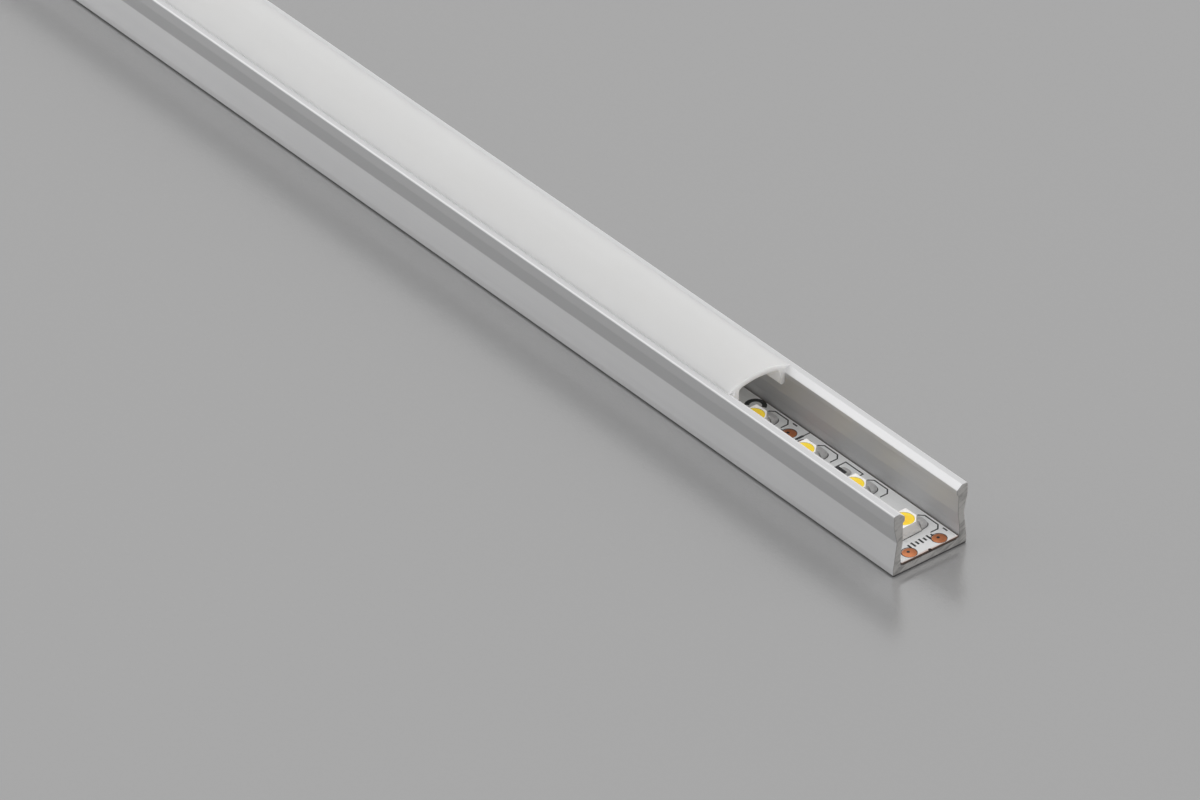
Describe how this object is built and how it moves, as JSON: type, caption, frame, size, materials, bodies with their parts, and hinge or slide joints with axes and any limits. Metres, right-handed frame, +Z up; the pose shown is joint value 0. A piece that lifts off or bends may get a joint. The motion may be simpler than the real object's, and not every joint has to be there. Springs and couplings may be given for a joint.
{
  "type": "led strip aluminium profile",
  "caption": "Short U-section aluminium channel holding an LED strip, with a milky arched diffuser cover that slides along its lips.",
  "frame": {"origin": "bottom centre of the box round the channel and the cover, with the cover set back as in the picture", "axes": "+Y along the length, away from the open end; +Z up out of the channel; +X across it"},
  "size_m": [0.0104, 0.2284, 0.0092],
  "materials": {
    "anodised_aluminium": "satin natural anodised, with fine lines along the extrusion",
    "milky_cover": "milky translucent plastic with a satin surface",
    "board_coating": "white solder resist on a flexible board",
    "tape_film": "thin double-sided adhesive tape",
    "led_housing": "white moulded plastic",
    "phosphor_resin": "yellow silicone resin",
    "resistor_body": "dark glazed ceramic chip"
  },
  "bodies": {
    "channel": {"channel": "anodised_aluminium", "adhesive_tape": "tape_film", "circuit_board": "board_coating", "led_01": "led_housing", "led_02": "led_housing", "led_03": "led_housing", "led_04": "led_housing", "led_05": "led_housing", "led_06": "led_housing", "led_07": "led_housing", "led_08": "led_housing", "led_09": "led_housing", "led_10": "led_housing", "led_11": "led_housing", "led_12": "led_housing", "led_13": "led_housing", "led_14": "led_housing", "led_15": "led_housing", "led_16": "led_housing", "led_17": "led_housing", "led_18": "led_housing", "led_19": "led_housing", "led_20": "led_housing", "led_21": "led_housing", "led_22": "led_housing", "led_23": "led_housing", "led_24": "led_housing", "phosphor_01": "phosphor_resin", "phosphor_02": "phosphor_resin", "phosphor_03": "phosphor_resin", "phosphor_04": "phosphor_resin", "phosphor_05": "phosphor_resin", "phosphor_06": "phosphor_resin", "phosphor_07": "phosphor_resin", "phosphor_08": "phosphor_resin", "phosphor_09": "phosphor_resin", "phosphor_10": "phosphor_resin", "phosphor_11": "phosphor_resin", "phosphor_12": "phosphor_resin", "phosphor_13": "phosphor_resin", "phosphor_14": "phosphor_resin", "phosphor_15": "phosphor_resin", "phosphor_16": "phosphor_resin", "phosphor_17": "phosphor_resin", "phosphor_18": "phosphor_resin", "phosphor_19": "phosphor_resin", "phosphor_20": "phosphor_resin", "phosphor_21": "phosphor_resin", "phosphor_22": "phosphor_resin", "phosphor_23": "phosphor_resin", "phosphor_24": "phosphor_resin", "resistor_1": "resistor_body", "resistor_2": "resistor_body", "resistor_3": "resistor_body", "resistor_4": "resistor_body", "resistor_5": "resistor_body", "resistor_6": "resistor_body", "resistor_7": "resistor_body", "resistor_8": "resistor_body"},
    "cover": {"diffuser_cover": "milky_cover"}
  },
  "joints": [
    {"name": "cover_slide", "type": "slide", "parent": "channel", "child": "cover", "axis": [0, 1, 0], "range_m": [-0.0285, 0.1515]}
  ]
}
